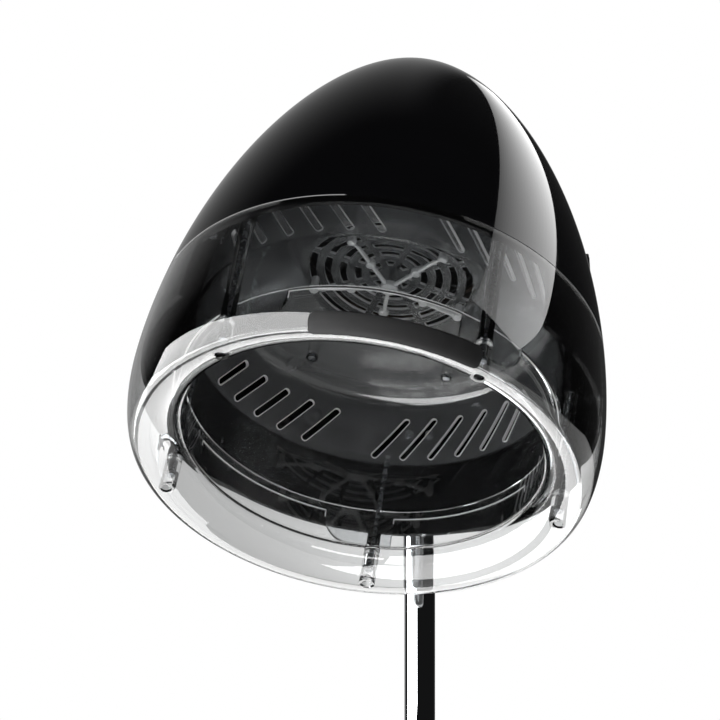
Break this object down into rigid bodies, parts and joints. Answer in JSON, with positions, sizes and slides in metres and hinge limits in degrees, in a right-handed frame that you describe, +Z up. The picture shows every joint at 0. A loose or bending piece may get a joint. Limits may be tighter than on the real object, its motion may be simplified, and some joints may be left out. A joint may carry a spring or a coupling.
{
  "type": "hood hair dryer on a stand",
  "caption": "Free-standing salon hood hair dryer: a tilting egg-shaped black hood with a clear visor ring and slotted inner dome, on a telescopic mast with a star base on castors.",
  "frame": {"origin": "on the floor, under the centre of the part's bounding box", "axes": "+Z up along the mast, the hood's front faces -Y, +X towards the control housing's side"},
  "size_m": [0.64, 0.674, 1.5419],
  "materials": {
    "gloss_black_abs": "high gloss",
    "clear_polycarbonate": "clear, glossy",
    "smoke_polycarbonate": "pale smoke, glossy",
    "dark_soft_trim": "satin",
    "chrome_steel": "polished",
    "zinc_steel": "satin",
    "black_moulded_plastic": "fine texture",
    "ceramic_former": "matt",
    "heater_alloy": "heat stained",
    "motor_enamel": "satin",
    "black_enamel": "satin",
    "red_lens": "clear red",
    "cream_nylon": "satin",
    "grey_nylon_tyre": "satin"
  },
  "bodies": {
    "stand": {"star_base": "black_enamel", "hub_cover": "chrome_steel", "outer_tube": "chrome_steel", "mast_bush": "black_moulded_plastic", "height_collar": "black_moulded_plastic"},
    "mast": {"inner_tube": "chrome_steel", "mast_foot": "black_moulded_plastic"},
    "head": {"swivel_head": "black_enamel", "swivel_screw": "zinc_steel", "hinge_pin": "zinc_steel", "friction_washers": "cream_nylon"},
    "hood": {"shell": "gloss_black_abs", "visor": "clear_polycarbonate", "front_grip": "dark_soft_trim", "inner_dome": "smoke_polycarbonate", "crown_guard": "chrome_steel", "dome_screws": "zinc_steel", "visor_columns": "clear_polycarbonate", "visor_screws": "zinc_steel", "plenum": "black_moulded_plastic", "plenum_screws": "zinc_steel", "heater_former": "ceramic_former", "heater_element": "heater_alloy", "motor": "motor_enamel", "motor_mount": "zinc_steel", "motor_bolts": "zinc_steel", "thermal_cutout": "zinc_steel", "control_housing": "gloss_black_abs", "mains_lamp": "red_lens", "timer_unit": "cream_nylon", "thermostat_unit": "zinc_steel", "switch_unit": "black_moulded_plastic", "tilt_bracket": "black_enamel", "bracket_bolts": "zinc_steel", "bracket_nuts": "zinc_steel", "cable_gland": "dark_soft_trim"},
    "tilt_knob": {"tilt_knob": "black_moulded_plastic"},
    "height_knob": {"height_knob": "black_moulded_plastic"},
    "fan": {"fan_wheel": "black_moulded_plastic", "motor_shaft": "zinc_steel"},
    "timer": {"timer_dial": "black_moulded_plastic"},
    "heat": {"heat_knob": "black_moulded_plastic"},
    "rocker": {"rocker_switch": "black_moulded_plastic"},
    "castor_1": {"castor_body_1": "black_moulded_plastic", "castor_axle_1": "zinc_steel"},
    "wheels_1": {"castor_wheels_1": "grey_nylon_tyre"},
    "castor_2": {"castor_body_2": "black_moulded_plastic", "castor_axle_2": "zinc_steel"},
    "wheels_2": {"castor_wheels_2": "grey_nylon_tyre"},
    "castor_3": {"castor_body_3": "black_moulded_plastic", "castor_axle_3": "zinc_steel"},
    "wheels_3": {"castor_wheels_3": "grey_nylon_tyre"},
    "castor_4": {"castor_body_4": "black_moulded_plastic", "castor_axle_4": "zinc_steel"},
    "wheels_4": {"castor_wheels_4": "grey_nylon_tyre"},
    "castor_5": {"castor_body_5": "black_moulded_plastic", "castor_axle_5": "zinc_steel"},
    "wheels_5": {"castor_wheels_5": "grey_nylon_tyre"}
  },
  "joints": [
    {"name": "mast_lift", "type": "slide", "parent": "stand", "child": "mast", "axis": [0, 0, 1], "range_m": [-0.2, 0.15]},
    {"name": "head_swivel", "type": "hinge", "parent": "mast", "child": "head", "pos_m": [0, 0.05872, 1.15], "axis": [0, 0, 1], "continuous": true},
    {"name": "hood_tilt", "type": "hinge", "parent": "head", "child": "hood", "pos_m": [0, 0.05872, 1.15], "axis": [1, 0, 0], "range_deg": [-8, 24]},
    {"name": "tilt_knob_turn", "type": "hinge", "parent": "head", "child": "tilt_knob", "pos_m": [0, 0.05872, 1.15], "axis": [1, 0, 0], "range_deg": [0, 360]},
    {"name": "height_knob_turn", "type": "hinge", "parent": "stand", "child": "height_knob", "pos_m": [0.032, 0.05872, 0.769], "axis": [1, 0, 0], "range_deg": [0, 360]},
    {"name": "fan_spin", "type": "hinge", "parent": "hood", "child": "fan", "pos_m": [0, -0.02952, 1.3825], "axis": [0, 0.6115, 0.7912], "continuous": true},
    {"name": "timer_turn", "type": "hinge", "parent": "hood", "child": "timer", "pos_m": [0.15047, 0.0399, 1.34753], "axis": [-0.9729, -0.2313, -0.0015], "range_deg": [0, 300]},
    {"name": "heat_turn", "type": "hinge", "parent": "hood", "child": "heat", "pos_m": [0.15552, 0.01885, 1.31876], "axis": [-0.9729, -0.2313, -0.0015], "range_deg": [0, 270]},
    {"name": "rocker_tilt", "type": "hinge", "parent": "hood", "child": "rocker", "pos_m": [0.14287, 0.05903, 1.3297], "axis": [0.1402, -0.5845, -0.7992], "range_deg": [-9, 9]},
    {"name": "castor_swivel_1", "type": "hinge", "parent": "stand", "child": "castor_1", "pos_m": [0, -0.23128, 0.052], "axis": [0, 0, 1], "continuous": true},
    {"name": "wheel_roll_1", "type": "hinge", "parent": "castor_1", "child": "wheels_1", "pos_m": [0, -0.24728, 0.025], "axis": [1, 0, 0], "continuous": true},
    {"name": "castor_swivel_2", "type": "hinge", "parent": "stand", "child": "castor_2", "pos_m": [0.27581, -0.03089, 0.052], "axis": [0, 0, 1], "continuous": true},
    {"name": "wheel_roll_2", "type": "hinge", "parent": "castor_2", "child": "wheels_2", "pos_m": [0.29102, -0.03583, 0.025], "axis": [0.309, 0.9511, 0], "continuous": true},
    {"name": "castor_swivel_3", "type": "hinge", "parent": "stand", "child": "castor_3", "pos_m": [0.17046, 0.29334, 0.052], "axis": [0, 0, 1], "continuous": true},
    {"name": "wheel_roll_3", "type": "hinge", "parent": "castor_3", "child": "wheels_3", "pos_m": [0.17986, 0.30628, 0.025], "axis": [-0.809, 0.5878, 0], "continuous": true},
    {"name": "castor_swivel_4", "type": "hinge", "parent": "stand", "child": "castor_4", "pos_m": [-0.17046, 0.29334, 0.052], "axis": [0, 0, 1], "continuous": true},
    {"name": "wheel_roll_4", "type": "hinge", "parent": "castor_4", "child": "wheels_4", "pos_m": [-0.17986, 0.30628, 0.025], "axis": [-0.809, -0.5878, 0], "continuous": true},
    {"name": "castor_swivel_5", "type": "hinge", "parent": "stand", "child": "castor_5", "pos_m": [-0.27581, -0.03089, 0.052], "axis": [0, 0, 1], "continuous": true},
    {"name": "wheel_roll_5", "type": "hinge", "parent": "castor_5", "child": "wheels_5", "pos_m": [-0.29102, -0.03583, 0.025], "axis": [0.309, -0.9511, 0], "continuous": true}
  ]
}
